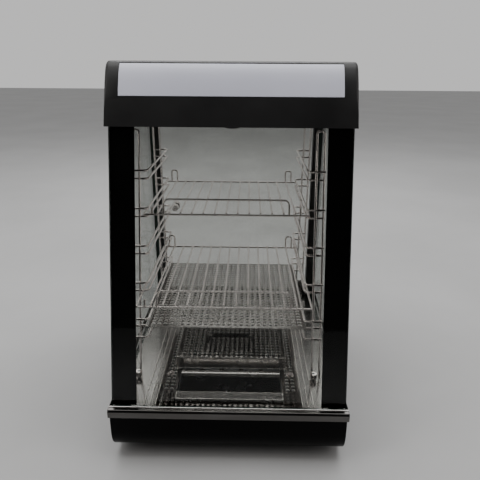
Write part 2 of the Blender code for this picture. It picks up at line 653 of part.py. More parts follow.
def hairpin(side, place, shift, inner_foot):
    """Two uprights joined at the top; the inner one may stop short above its levelling nut."""
    inner, outer = RACK_X + side * INNER_DX, RACK_X + side * OUTER_DX
    foot, top = RACK_FOOT_Z, RACK_TOP_Z
    return [(inner, place(inner_foot) + shift, inner_foot), (inner, place(top) + shift, top),
            (outer, place(top) + shift, top), (outer, place(foot) + shift, foot)]


def build_rack(side):
    paths = [hairpin(side, rack_front, WELD_OVERLAP, NUT_Z[1] + LEG_OVER_NUT),
             hairpin(side, rack_rear, -WELD_OVERLAP, RACK_FOOT_Z)]
    for level in range(LEVELS):
        z = RAIL_TOP_Z - RAIL_PITCH * level
        paths.append(rail_wire(side, z, z))
        paths.append(rail_wire(side, z - (RAIL_PAIR if level < 4 else 0.0125), z))
    paths.append(rail_wire(side, FOOT_WIRE_Z, FOOT_WIRE_Z))
    welded("rack_" + side_name(side), paths, WIRE_R, "chrome")


def stud_place(side):
    return RACK_X + side * NUT_DX, rack_front(NUT_Z[0]) + WELD_OVERLAP


def build_rack_stud(side):
    stud = round_rod(bmesh.new(), stud_place(side), 0.0025, "Z", FLOOR_TOP + GAP, NUT_Z[1] - GAP, 12)
    make("rack_stud_" + side_name(side), stud, "zinc")


def build_thumb_nut(side):
    x, y = stud_place(side)
    nut = make("thumb_nut_" + side_name(side), round_rod(bmesh.new(), (x, y), 0.0060, "Z", *NUT_Z, 20),
               "chrome")
    boolean(nut, round_rod(bmesh.new(), (x, y), 0.0028, "Z", FLOOR_TOP, NUT_Z[1] + 0.01, 12), "DIFFERENCE")
    move_origin(nut, (x, y, NUT_Z[0]))


def build_shelf(node, level):
    z, front, rear = level
    deck = z + 0.0028
    x = SHELF_X
    half = SHELF_HALF_W
    lean = SLOPE * FENCE_H
    paths = [[(x - half, front, z), (x + half, front, z)], [(x - half, rear, z), (x + half, rear, z)],
             [(x - half, front - 0.001, z), (x - half, rear + 0.001, z)],
             [(x + half, front - 0.001, z), (x + half, rear + 0.001, z)]]
    for i in range(SHELF_WIRES):
        offset = x + (i - (SHELF_WIRES - 1) / 2) * SHELF_PITCH
        paths.append([(offset, front - 0.0008, deck), (offset, rear + 0.0008, deck)])
    top = z + FENCE_H
    fence = 0.107
    paths.append([(x - fence, front, z), (x - fence, front + lean, top), (x + fence, front + lean, top),
                  (x + fence, front, z)])
    for side in (-1, 1):
        stub = x + side * 0.1265
        paths.append([(stub, front, z), (stub, front + lean * 0.5, z + FENCE_H * 0.5)])
        a, b = x + side * 0.1170, x + side * 0.1290
        paths.append([(a, rear, z), (a, rear - 0.001, top), (b, rear - 0.001, top), (b, rear, z)])
    welded(node, paths, SHELF_R, "chrome", 0.006)


def build_tray():
    edge = TRAY_HALF_W
    simple_box("perforated_tray", (RACK_X - edge, RACK_X + edge), TRAY_Y, TRAY_Z, "stainless")


def move_origin(obj, point):
    """Put the object's origin on its joint axis without moving its shape."""
    shift = Vector(point)
    obj.data.transform(Matrix.Translation(-shift))
    obj.location = shift


def build():
    clear_scene()
    build_fascia()
    build_bottom_plate()
    build_feet()
    build_trim()
    build_floor()
    build_well()
    build_water_trough()
    build_element_cover()
    build_heater()
    build_control_panel()
    build_thermostat()
    for name, x in SWITCH_X.items():
        build_switch(name, x)
    build_electrics()
    build_header()
    build_lens()
    build_header_inside()
    build_front_glass()
    build_rear_rails()
    build_door()
    for side in (-1, 1):
        build_base_side(side)
        build_side_glazing(side)
        build_rack(side)
        build_rack_stud(side)
        build_thumb_nut(side)
    build_shelf("wire_shelf_upper", UPPER_SHELF)
    build_shelf("wire_shelf_lower", LOWER_SHELF)
    build_tray()


build()
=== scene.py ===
"""Looks of the countertop heated display case: finer pieces, materials, camera and light."""

import json
from math import cos, pi, radians, sin

import bmesh
import bpy
from mathutils import Matrix, Vector


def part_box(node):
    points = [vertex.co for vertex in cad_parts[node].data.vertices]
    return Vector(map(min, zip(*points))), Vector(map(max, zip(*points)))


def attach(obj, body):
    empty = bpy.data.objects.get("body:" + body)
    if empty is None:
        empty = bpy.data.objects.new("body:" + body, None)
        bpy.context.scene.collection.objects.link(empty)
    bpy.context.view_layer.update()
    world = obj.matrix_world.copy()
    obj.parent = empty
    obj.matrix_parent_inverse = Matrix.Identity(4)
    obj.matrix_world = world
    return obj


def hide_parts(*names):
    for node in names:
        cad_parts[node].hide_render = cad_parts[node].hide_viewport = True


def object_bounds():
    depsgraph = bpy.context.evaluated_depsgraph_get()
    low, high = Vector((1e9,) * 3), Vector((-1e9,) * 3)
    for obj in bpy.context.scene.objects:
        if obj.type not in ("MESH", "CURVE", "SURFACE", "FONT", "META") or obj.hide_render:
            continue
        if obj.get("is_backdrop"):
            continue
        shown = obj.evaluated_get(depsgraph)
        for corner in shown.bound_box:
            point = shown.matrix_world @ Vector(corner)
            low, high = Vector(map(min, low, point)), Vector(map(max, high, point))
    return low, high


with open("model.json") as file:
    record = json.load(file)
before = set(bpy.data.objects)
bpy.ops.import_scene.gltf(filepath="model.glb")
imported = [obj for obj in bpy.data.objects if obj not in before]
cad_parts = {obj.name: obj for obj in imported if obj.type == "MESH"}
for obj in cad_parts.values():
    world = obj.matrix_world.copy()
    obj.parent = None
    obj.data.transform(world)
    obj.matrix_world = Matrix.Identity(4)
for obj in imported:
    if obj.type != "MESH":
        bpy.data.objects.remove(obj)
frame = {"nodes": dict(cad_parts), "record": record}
CAD_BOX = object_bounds()
RECORD = frame["record"]
NODES = frame["nodes"]
BODY_OF = {node: body for body, group in RECORD["behaviour"]["bodies"].items() for node in group}
SLOT_OF = {part["node"]: part["material_slot"] for part in RECORD["subparts"]}

# Sizes in metres. SLOPE is how far the leaning front goes back for each metre up.
SLOPE = 0.26
FLOOR_TOP, FLOOR_SHEET = 0.0870, 0.0012
HEM_R = 0.0008

# Racks: legs, support rails in pairs, and the nuts under the front legs.
RACK_X, RAIL_DX, INNER_DX, OUTER_DX = -0.0078, 0.1355, 0.1500, 0.1630
RAIL_FRONT_Y, RAIL_REAR_Y, REAR_SLOPE = -0.050, 0.166, 0.048
RAIL_TOP_Z, RAIL_PITCH, RAIL_PAIR, LOWEST_PAIR, LEVELS = 0.4375, 0.062, 0.0140, 0.0125, 5
RACK_TOP_Z, RACK_FOOT_Z, FOOT_WIRE_Z = 0.503, 0.0895, 0.159
WIRE_R, LEG_BEND, RAIL_BEND = 0.0020, 0.0062, 0.007
LEG_SHIFT, RAIL_PAST, RACK_WELD_DY, RACK_WELD_R = 0.0030, 0.0030, 0.0016, 0.0017
NUT_Z, NUT_DX, NUT_R, LEG_OVER_NUT = (0.0903, 0.1000), 0.1530, 0.0060, 0.0010
NUT_BORE_R, NUT_CHAMFER, NUT_CUT, NUT_TEETH = 0.0029, 0.0008, 0.0005, 56

# Shelves. A level is the height of the end wires, then their front and rear place.
SHELF_R, SHELF_X, SHELF_HALF_W, FENCE_H = 0.0017, -0.0095, 0.1405, 0.0250
DECK_WIRES, SHELF_PITCH, DECK_RISE, DECK_PAST, SIDE_PAST = 13, 0.0195, 0.0028, 0.0008, 0.001
FENCE_DX, FENCE_BEND, STUB_DX = 0.107, 0.010, 0.1265
REAR_LOOP_DX, REAR_LOOP_BACK, REAR_LOOP_BEND = (0.1170, 0.1290), 0.001, 0.006
SHELF_WELD_RISE, SHELF_WELD_R = 0.0014, 0.0015
UPPER_SHELF = (0.3658, -0.0677, 0.1816)
LOWER_SHELF = (0.2418, -0.1680, 0.1076)

# Holes: rows in the floor and the heater cover, a wider grid in the tray.
SINK, HOLE_PITCH, HOLE_R = 0.0007, 0.0095, 0.0024
TRAY_PITCH, TRAY_HOLE_R = 0.0102, 0.0029

# Heater cover: sheet, pressed rectangle with its plain border, and front face brightened as a painted
# highlight.
COVER_SHEET = 0.0010
RECESS = ((-0.045, 0.039), (-0.086, -0.025))
RECESS_BORDER, RECESS_DEPTH, RECESS_WALL = 0.004, 0.0040, 0.0025
RECESS_CORNER, RECESS_BOTTOM_CORNER, SQUARE_CORNER = 0.008, 0.006, 0.0001
FACE_PROUD, FACE_BACK, FACE_FOOT, FACE_TOP = 0.0003, 0.0004, 0.0005, 0.001

# Floor: opening over the well, row of holes along the front, folded rims, screws.
WELL_HALF_W, WELL_Y = 0.0885, (-0.1800, 0.1200)
FRONT_ROW_HALF_W, FRONT_ROW_Y = 0.0780, (-0.2105, -0.1985)
RIM_LINES = (0.1186, 0.1276, 0.1367)
RIM_WIDTH, RIM_RISE, RIM_FRONT_Y, RIM_REAR_GAP = 0.0014, 0.0016, -0.2125, 0.002
BOLTS, BOLT_Y = ((-0.1065, "left"), (0.1057, "right")), -0.1250
BOLT_R, BOLT_H, WASHER_R, WASHER_H = 0.0048, 0.0036, 0.0068, 0.0008

# Trough lip, trim line and light panel.
LIP_Y, LIP_TOP = (-0.1995, -0.1815), FLOOR_TOP + 0.0050
LIP_INSET, LIP_FACE = 0.0012, 0.0002
TRIM_HEM = (-0.2300, 0.0974)
LENS_FACE = ((-0.1120, 0.5624), (-0.1083, 0.5720), (-0.1035, 0.5830), (-0.0986, 0.5930), (-0.0932, 0.6016),
             (-0.0892, 0.6062), (-0.0870, 0.6082))
LENS_THICK = (0.0024, 0.0006)

# Mesh clean-up: weld distance, and the angle in degrees up to which faces merge or shade as one.
WELD, FLAT, CRISP, ROUND = 1e-6, 1.0, 30, 50


# ---------------------------------------------------------------- materials

GLASS_IOR, GLASS_GLOSS, GLASS_ROUGHNESS, SMEAR_SHADE = 1.5, (0.55, 0.56, 0.55, 1), 0.02, 0.965


def new_material(name):
    mat = bpy.data.materials.new(name)
    mat.use_nodes = True
    tree = mat.node_tree
    return mat, tree, tree.nodes["Principled BSDF"]


def object_noise(tree, scale, detail=3.0, stretch=(1, 1, 1), rough=0.55):
    coords = tree.nodes.new("ShaderNodeTexCoord")
    mapping = tree.nodes.new("ShaderNodeMapping")
    mapping.inputs["Scale"].default_value = stretch
    noise = tree.nodes.new("ShaderNodeTexNoise")
    noise.inputs["Scale"].default_value = scale
    noise.inputs["Detail"].default_value = detail
    noise.inputs["Roughness"].default_value = rough
    tree.links.new(coords.outputs["Object"], mapping.inputs["Vector"])
    tree.links.new(mapping.outputs["Vector"], noise.inputs["Vector"])
    return noise


def color_between(tree, source, low, high, lo=0.35, hi=0.65):
    ramp = tree.nodes.new("ShaderNodeValToRGB")
    ramp.color_ramp.elements[0].position = lo
    ramp.color_ramp.elements[0].color = (*low, 1)
    ramp.color_ramp.elements[1].position = hi
    ramp.color_ramp.elements[1].color = (*high, 1)
    tree.links.new(source, ramp.inputs["Fac"])
    return ramp.outputs["Color"]


def value_between(tree, source, low, high):
    span = tree.nodes.new("ShaderNodeMapRange")
    span.inputs["From Min"].default_value = 0.3
    span.inputs["From Max"].default_value = 0.7
    span.inputs["To Min"].default_value = low
    span.inputs["To Max"].default_value = high
    tree.links.new(source, span.inputs["Value"])
    return span.outputs["Result"]


def add_bump(tree, shader, source, strength, distance):
    bump = tree.nodes.new("ShaderNodeBump")
    bump.inputs["Strength"].default_value = strength
    bump.inputs["Distance"].default_value = distance
    tree.links.new(source, bump.inputs["Height"])
    tree.links.new(bump.outputs["Normal"], shader.inputs["Normal"])


def surface(name, low, high, rough, metal=0.0, scale=6.0, stretch=(1, 1, 1), bump=None, spec=0.5):
    """Patchy colour, uneven gloss and fine relief. bump is scale, strength, depth and stretch."""
    mat, tree, shader = new_material(name)
    patch = object_noise(tree, scale, 4.0, stretch)
    tree.links.new(color_between(tree, patch.outputs["Fac"], low, high), shader.inputs["Base Color"])
    tree.links.new(value_between(tree, patch.outputs["Fac"], rough[0], rough[1]), shader.inputs["Roughness"])
    shader.inputs["Metallic"].default_value = metal
    shader.inputs["Specular IOR Level"].default_value = spec
    if bump:
        grain = object_noise(tree, bump[0], 2.0, bump[3] if len(bump) > 3 else (1, 1, 1))
        add_bump(tree, shader, grain.outputs["Fac"], bump[1], bump[2])
    return mat


def gloss_share(tree):
    """Share of light that glass mirrors, on its outer faces only."""
    fresnel = tree.nodes.new("ShaderNodeFresnel")
    fresnel.inputs["IOR"].default_value = GLASS_IOR
    facing = tree.nodes.new("ShaderNodeNewGeometry")
    outside = tree.nodes.new("ShaderNodeMath")
    outside.operation = "SUBTRACT"
    outside.inputs[0].default_value = 1.0
    tree.links.new(facing.outputs["Backfacing"], outside.inputs[1])
    share = tree.nodes.new("ShaderNodeMath")
    share.operation = "MULTIPLY"
    tree.links.new(fresnel.outputs["Fac"], share.inputs[0])
    tree.links.new(outside.outputs["Value"], share.inputs[1])
    return share.outputs["Value"]


def pane_material(name, tint):
    """Toughened glass: clear with a faint tint and a mirror gloss at low angles."""
    mat, tree, shader = new_material(name)
    tree.nodes.remove(shader)
    output = tree.nodes["Material Output"]
    clear = tree.nodes.new("ShaderNodeBsdfTransparent")
    mirror = tree.nodes.new("ShaderNodeBsdfGlossy")
    mirror.inputs["Color"].default_value = GLASS_GLOSS
    mirror.inputs["Roughness"].default_value = GLASS_ROUGHNESS
    smear = object_noise(tree, 9.0, 3.0, (1, 1, 2.5))
    low = tuple(c * SMEAR_SHADE for c in tint)
    tree.links.new(color_between(tree, smear.outputs["Fac"], low, tint), clear.inputs["Color"])
    mix = tree.nodes.new("ShaderNodeMixShader")
    tree.links.new(gloss_share(tree), mix.inputs["Fac"])
    tree.links.new(clear.outputs["BSDF"], mix.inputs[1])
    tree.links.new(mirror.outputs["BSDF"], mix.inputs[2])
    tree.links.new(mix.outputs["Shader"], output.inputs["Surface"])
    return mat


MATS = {
    "black_coat": surface("satin black powder coat", (0.0105, 0.0103, 0.0106), (0.0140, 0.0137, 0.0140),
                          (0.38, 0.48), scale=14, bump=(1500, 0.06, 0.0001), spec=0.35),
    "black_gloss": surface("gloss black enamel", (0.0003, 0.0003, 0.0004), (0.0006, 0.0006, 0.0006),
                           (0.20, 0.28), scale=10, bump=(500, 0.02, 0.0001), spec=0.06),
    "black_print": surface("black ceramic print", (0.0006, 0.0006, 0.0007), (0.0010, 0.0010, 0.0011),
                           (0.30, 0.40), scale=8, bump=(900, 0.02, 0.0001), spec=0.10),
    "stainless": surface("brushed stainless steel", (0.24, 0.23, 0.224), (0.32, 0.307, 0.298), (0.17, 0.25),
                         metal=1.0, scale=30, stretch=(0.3, 4, 4), bump=(900, 0.02, 0.00005, (0.10, 1, 1))),
    # Hole walls and countersinks far brighter than their sheet: a painted reflection that makes the holes
    # read light.
    "painted_hole_sheen": surface("hole walls with painted reflection", (0.72, 0.70, 0.68), (0.82, 0.80, 0.78), (0.32, 0.42), metal=1.0,
                       scale=40, bump=(300, 0.02, 0.0001)),
    # Steel far brighter than the stainless it belongs to: a painted highlight on hems, trough, tube and the
    # cover's front face.
    "rolled": surface("bright rolled hem", (0.80, 0.765, 0.74), (0.90, 0.865, 0.84), (0.20, 0.30), metal=1.0,
                      scale=20, bump=(200, 0.02, 0.0001)),
    "mirror": surface("mirror rolled steel", (0.17, 0.16, 0.153), (0.23, 0.22, 0.21), (0.05, 0.09), metal=1.0,
                      scale=16, bump=(60, 0.012, 0.0001)),
    "chrome": surface("bright plated wire", (0.80, 0.745, 0.73), (0.93, 0.87, 0.855), (0.10, 0.18), metal=1.0,
                      scale=55, bump=(300, 0.03, 0.0001)),
    "zinc": surface("zinc plated sheet", (0.40, 0.41, 0.42), (0.54, 0.55, 0.56), (0.38, 0.52), metal=1.0,
                    scale=45, bump=(600, 0.08, 0.0002)),
    "opal": surface("opal acrylic", (0.73, 0.74, 0.85), (0.79, 0.80, 0.91), (0.26, 0.34), scale=5,
                    bump=(260, 0.03, 0.0001)),
    "rubber": surface("black rubber", (0.012, 0.012, 0.012), (0.022, 0.022, 0.021), (0.70, 0.88), scale=60,
                      bump=(900, 0.25, 0.0003)),
    "black_plastic": surface("moulded black plastic", (0.010, 0.010, 0.011), (0.017, 0.017, 0.018),
                             (0.34, 0.48), scale=50, bump=(1200, 0.15, 0.0002)),
    "white_plastic": surface("off-white plastic", (0.55, 0.55, 0.52), (0.64, 0.64, 0.61), (0.38, 0.50),
                             scale=30, bump=(900, 0.08, 0.0002)),
    "red_plastic": surface("red translucent plastic", (0.42, 0.012, 0.008), (0.55, 0.022, 0.012),
                           (0.22, 0.32), scale=60, bump=(700, 0.05, 0.0001)),
    "element": surface("heat darkened sheath", (0.06, 0.05, 0.045), (0.16, 0.12, 0.10), (0.42, 0.62),
                       metal=0.9, scale=40, bump=(500, 0.20, 0.0003)),
    "clear_glass": pane_material("tinted toughened glass", (0.87, 0.875, 0.865)),
    "side_glass": pane_material("side toughened glass", (0.80, 0.81, 0.80)),
    "trim": surface("bright trim", (0.09, 0.086, 0.082), (0.13, 0.125, 0.12), (0.14, 0.22), metal=1.0,
                    scale=16, stretch=(0.5, 2, 2), bump=(60, 0.015, 0.0001)),
    "glass_edge": surface("ground glass edge", (0.010, 0.030, 0.022), (0.020, 0.050, 0.038), (0.12, 0.25),
                          scale=30, bump=(500, 0.10, 0.0002)),
}


# ---------------------------------------------------------------- mesh helpers

def finish(obj, body, slot, *nodes):
    """Attach a finished piece to its body and hide the CAD nodes it stands for. The slot argument is not
    used.
    """
    if nodes:
        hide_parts(*nodes)
    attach(obj, body)
    return obj


def link(name, bm, mat, smooth=35.0, merge=0.0):
    if merge:
        bmesh.ops.remove_doubles(bm, verts=bm.verts, dist=merge)
    bmesh.ops.recalc_face_normals(bm, faces=bm.faces)
    mesh = bpy.data.meshes.new(name)
    bm.to_mesh(mesh)
    bm.free()
    mesh.materials.append(mat)
    obj = bpy.data.objects.new(name, mesh)
    bpy.context.scene.collection.objects.link(obj)
    if smooth:
        mesh.shade_smooth()
        mesh.set_sharp_from_angle(angle=radians(smooth))
    return obj


def soften(obj, width):
    mod = obj.modifiers.new("edges", "BEVEL")
    mod.width = width
    mod.segments = 2
    mod.limit_method = "ANGLE"
    mod.angle_limit = radians(32)
    mod.harden_normals = True
    return obj


def merged_faces(node):
    """The CAD piece with its triangles merged into flat faces."""
    bm = bmesh.new()
    bm.from_mesh(NODES[node].data)
    bmesh.ops.remove_doubles(bm, verts=bm.verts, dist=WELD)
    bmesh.ops.dissolve_limit(bm, angle_limit=radians(FLAT), verts=bm.verts, edges=bm.edges)
    return bm


def refined(node, mat=None, width=0.0):
    """The CAD piece itself with rounded edges and its real finish."""
    obj = link(node + "_finished", merged_faces(node), MATS[mat or SLOT_OF[node]])
    if width:
        soften(obj, width)
    return finish(obj, BODY_OF[node], SLOT_OF[node], node)


def prism(bm, profile, axis, lo, hi):
    """Outline drawn out along the X or Z axis."""
    def place(a, b, t):
        return (t, a, b) if axis == "X" else (a, b, t)
    low = [bm.verts.new(place(a, b, lo)) for a, b in profile]
    high = [bm.verts.new(place(a, b, hi)) for a, b in profile]
    bm.faces.new(low)
    bm.faces.new(list(reversed(high)))
    for i in range(len(profile)):
        j = (i + 1) % len(profile)
        bm.faces.new((low[i], high[i], high[j], low[j]))
    return bm


def box(bm, x, y, z):
    return prism(bm, [(x[0], y[0]), (x[1], y[0]), (x[1], y[1]), (x[0], y[1])], "Z", z[0], z[1])


def upright_rod(bm, centre, radius, z, sides):
    ring = [(centre[0] + radius * cos(2 * pi * i / sides), centre[1] + radius * sin(2 * pi * i / sides))
            for i in range(sides)]
    return prism(bm, ring, "Z", z[0], z[1])


def fillet_path(points, radius, steps=6):
    """The path with each corner turned into a bend."""
    path = [Vector(points[0])]
    for before, corner, after in zip(points, points[1:], points[2:]):
        corner = Vector(corner)
        into, out = Vector(before) - corner, Vector(after) - corner
        reach = min(radius, into.length * 0.48, out.length * 0.48)
        start, end = corner + into.normalized() * reach, corner + out.normalized() * reach
        for k in range(steps + 1):
            t = k / steps
            path.append(start * (1 - t) ** 2 + corner * 2 * t * (1 - t) + end * t ** 2)
    path.append(Vector(points[-1]))
    return path


def domed_stations(path, radius):
    """Points along the wire with the share of its radius there, less at the two ends."""
    first, last = path[0], path[-1]
    dome = radius * 0.35
    path = [first + (path[1] - first).normalized() * dome] + path[1:-1] + \
        [last + (path[-2] - last).normalized() * dome]
    return [(first, 0.55)] + [(p, 1.0) for p in path] + [(last, 0.55)]


def wire(bm, points, radius, sides=12, bend=0.005):
    """Round wire swept along a path, with slightly domed ends."""
    path = fillet_path(points, bend) if len(points) > 2 else [Vector(p) for p in points]
    stations = domed_stations(path, radius)
    rings, side = [], None
    for i, (point, scale) in enumerate(stations):
        ahead = stations[min(i + 1, len(stations) - 1)][0] - point
        behind = point - stations[max(i - 1, 0)][0]
        along = (ahead if ahead.length > 1e-9 else behind).normalized()
        if 0 < i < len(stations) - 1 and behind.length > 1e-9:
            along = (ahead.normalized() + behind.normalized()).normalized()
        if side is None:
            helper = Vector((0, 0, 1)) if abs(along.z) < 0.9 else Vector((1, 0, 0))
            side = along.cross(helper).normalized()
        side = (side - along * side.dot(along)).normalized()
        other = along.cross(side)
        rings.append([bm.verts.new(point + (side * cos(2 * pi * k / sides) + other * sin(2 * pi * k / sides))
                                   * radius * scale) for k in range(sides)])
    bm.faces.new(rings[0])
    bm.faces.new(list(reversed(rings[-1])))
    for one, two in zip(rings, rings[1:]):
        for k in range(sides):
            n = (k + 1) % sides
            bm.faces.new((one[k], two[k], two[n], one[n]))
    return bm


def weld_bead(bm, point, radius):
    """Small flattened lump where two wires are spot welded."""
    lump = bmesh.ops.create_icosphere(bm, subdivisions=2, radius=radius)
    bmesh.ops.scale(bm, verts=lump["verts"], vec=(1.25, 1.25, 0.8))
    bmesh.ops.translate(bm, verts=lump["verts"], vec=point)


def quad_cell(bm, x, y, size, z0, z1, radius, sides=12):
    """One square of sheet with a lightly countersunk round hole right through it."""
    per_side = sides // 4
    edge, hole, rim = [], [], []
    half = size / 2
    corners = [(1, 1), (-1, 1), (-1, -1), (1, -1)]
    for c in range(4):
        a, b = corners[c], corners[(c + 1) % 4]
        for k in range(per_side):
            t = k / per_side
            edge.append((x + half * (a[0] + (b[0] - a[0]) * t), y + half * (a[1] + (b[1] - a[1]) * t)))
            angle = pi / 4 + 2 * pi * (c * per_side + k) / sides
            hole.append((x + radius * cos(angle), y + radius * sin(angle)))
            rim.append((x + (radius + SINK) * cos(angle), y + (radius + SINK) * sin(angle)))
    loops = {"rim": [bm.verts.new((p[0], p[1], z1)) for p in rim]}
    for name, pts in (("edge", edge), ("hole", hole)):
        for z in (z0, z1):
            level = z - SINK if (name, z) == ("hole", z1) else z
            loops[name, z] = [bm.verts.new((p[0], p[1], level)) for p in pts]
    for k in range(sides):
        n = (k + 1) % sides
        bm.faces.new((loops["edge", z1][k], loops["edge", z1][n], loops["rim"][n], loops["rim"][k]))
        bevel = bm.faces.new((loops["rim"][k], loops["rim"][n], loops["hole", z1][n], loops["hole", z1][k]))
        bm.faces.new((loops["edge", z0][n], loops["edge", z0][k], loops["hole", z0][k], loops["hole", z0][n]))
        wall = bm.faces.new((loops["hole", z1][k], loops["hole", z1][n], loops["hole", z0][n],
                             loops["hole", z0][k]))
        # Countersink and hole wall take the second material, a painted reflection.
        bevel.material_index = wall.material_index = 1


def margin_strip(bm, x, y, z, outline):
    """Plain piece of sheet, closed along the sides that lie on the outline of the whole."""
    low = [bm.verts.new(p) for p in ((x[0], y[0], z[0]), (x[1], y[0], z[0]), (x[1], y[1], z[0]),
                                     (x[0], y[1], z[0]))]
    high = [bm.verts.new(p) for p in ((x[0], y[0], z[1]), (x[1], y[0], z[1]), (x[1], y[1], z[1]),
                                      (x[0], y[1], z[1]))]
    bm.faces.new(list(reversed(low)))
    bm.faces.new(high)
    sides = ((0, 1, y[0] <= outline[1][0]), (1, 2, x[1] >= outline[0][1]),
             (2, 3, y[1] >= outline[1][1]), (3, 0, x[0] <= outline[0][0]))
    for a, b, on_outline in sides:
        if on_outline:
            bm.faces.new((low[a], low[b], high[b], high[a]))


def perforated(bm, x, y, z, pitch, radius, blocked=None):
    """Sheet from x[0] to x[1], y[0] to y[1] with an aligned grid of holes and a plain margin."""
    nx = int((x[1] - x[0]) / pitch - 0.6)
    ny = int((y[1] - y[0]) / pitch - 0.6)
    x0 = (x[0] + x[1]) / 2 - nx * pitch / 2
    y0 = (y[0] + y[1]) / 2 - ny * pitch / 2
    third = pitch / 3
    xs = [x[0]] + [x0 + third * i for i in range(nx * 3 + 1)] + [x[1]]
    ys = [y[0]] + [y0 + third * i for i in range(ny * 3 + 1)] + [y[1]]
    for i in range(nx):
        for j in range(ny):
            cx, cy = x0 + pitch * (i + 0.5), y0 + pitch * (j + 0.5)
            if blocked and blocked(cx, cy):
                continue
            quad_cell(bm, cx, cy, pitch, z[0], z[1], radius)
    for column in zip(xs, xs[1:]):
        margin_strip(bm, column, ys[:2], z, (x, y))
        margin_strip(bm, column, ys[-2:], z, (x, y))
    for row in zip(ys[1:-1], ys[2:-1]):
        margin_strip(bm, xs[:2], row, z, (x, y))
        margin_strip(bm, xs[-2:], row, z, (x, y))
    return x0, y0, nx, ny


# ---------------------------------------------------------------- racks and shelves

def rack_front(z):
    return RAIL_FRONT_Y + SLOPE * (z - RAIL_TOP_Z)


def rack_rear(z):
    return RAIL_REAR_Y + REAR_SLOPE * (RAIL_TOP_Z - z)


def rail_wire(side, z, front_z):
    """Rail at height z, as deep as the rack is at height front_z."""
    rail = RACK_X + side * RAIL_DX
    out = RACK_X + side * (OUTER_DX + RAIL_PAST)
    front, rear = rack_front(front_z), rack_rear(front_z)
    return [(out, front, z), (rail, front, z), (rail, rear, z), (out, rear, z)]


def hairpin(side, place, shift, inner_foot):
    """Leg wire: up from its inner foot, over the top and down to the floor."""
    inner, outer = RACK_X + side * INNER_DX, RACK_X + side * OUTER_DX
    foot, top = RACK_FOOT_Z, RACK_TOP_Z
    return [(inner, place(inner_foot) + shift, inner_foot), (inner, place(top) + shift, top),
            (outer, place(top) + shift, top), (outer, place(foot) + shift, foot)]


def build_rack(side, name):
    bm = bmesh.new()
    wire(bm, hairpin(side, rack_front, LEG_SHIFT, NUT_Z[1] + LEG_OVER_NUT), WIRE_R, bend=LEG_BEND)
    wire(bm, hairpin(side, rack_rear, -LEG_SHIFT, RACK_FOOT_Z), WIRE_R, bend=LEG_BEND)
    heights = [(FOOT_WIRE_Z, FOOT_WIRE_Z)]
    for level in range(LEVELS):
        z = RAIL_TOP_Z - RAIL_PITCH * level
        heights += [(z, z), (z - (RAIL_PAIR if level < LEVELS - 1 else LOWEST_PAIR), z)]
    for z, front_z in heights:
        wire(bm, rail_wire(side, z, front_z), WIRE_R, bend=RAIL_BEND)
        for reach in (INNER_DX, OUTER_DX):
            x = RACK_X + side * reach
            weld_bead(bm, (x, rack_front(front_z) + RACK_WELD_DY, z), RACK_WELD_R)
            weld_bead(bm, (x, rack_rear(front_z) - RACK_WELD_DY, z), RACK_WELD_R)
    obj = link("rack_wires_" + name, bm, MATS["chrome"], ROUND)
    finish(obj, "case", "chrome", "rack_" + name)


def build_shelf(node, body, level):
    """Frame wires, front stubs, rear loops, deck wires and the front fence of one shelf."""
    z, front, rear = level
    deck, top, lean = z + DECK_RISE, z + FENCE_H, SLOPE * FENCE_H
    x, half = SHELF_X, SHELF_HALF_W
    bm = bmesh.new()
    for y in (front, rear):
        wire(bm, [(x - half, y, z), (x + half, y, z)], SHELF_R)
    for side in (-1, 1):
        edge, stub = x + side * half, x + side * STUB_DX
        wire(bm, [(edge, front - SIDE_PAST, z), (edge, rear + SIDE_PAST, z)], SHELF_R)
        wire(bm, [(stub, front, z), (stub, front + lean * 0.5, z + FENCE_H * 0.5)], SHELF_R)
        a, b = x + side * REAR_LOOP_DX[0], x + side * REAR_LOOP_DX[1]
        back = rear - REAR_LOOP_BACK
        wire(bm, [(a, rear, z), (a, back, top), (b, back, top), (b, rear, z)], SHELF_R, bend=REAR_LOOP_BEND)
    for i in range(DECK_WIRES):
        offset = x + (i - DECK_WIRES // 2) * SHELF_PITCH
        wire(bm, [(offset, front - DECK_PAST, deck), (offset, rear + DECK_PAST, deck)], SHELF_R)
        for y in (front, rear):
            weld_bead(bm, (offset, y, z + SHELF_WELD_RISE), SHELF_WELD_R)
    left, right = x - FENCE_DX, x + FENCE_DX
    wire(bm, [(left, front, z), (left, front + lean, top), (right, front + lean, top), (right, front, z)],
         SHELF_R, bend=FENCE_BEND)
    finish(link(node + "_wires", bm, MATS["chrome"], ROUND), body, "chrome", node)


# ---------------------------------------------------------------- perforated sheets

def painted_hole_sheen(obj):
    """Second material for the walls of the holes: their steel brightened as a painted reflection."""
    obj.data.materials.append(MATS["painted_hole_sheen"])
    return obj


def build_tray():
    low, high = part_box("perforated_tray")
    bm = bmesh.new()
    perforated(bm, (low.x, high.x), (low.y, high.y), (low.z, high.z), TRAY_PITCH, TRAY_HOLE_R)
    obj = painted_hole_sheen(link("tray_sheet", bm, MATS["stainless"], CRISP, WELD))
    finish(obj, "food_tray", "stainless", "perforated_tray")


def near_recess(x, y):
    """Whether a hole there would cut the pressed rectangle or its border."""
    return all(span[0] - RECESS_BORDER < place < span[1] + RECESS_BORDER
               for place, span in zip((x, y), RECESS))


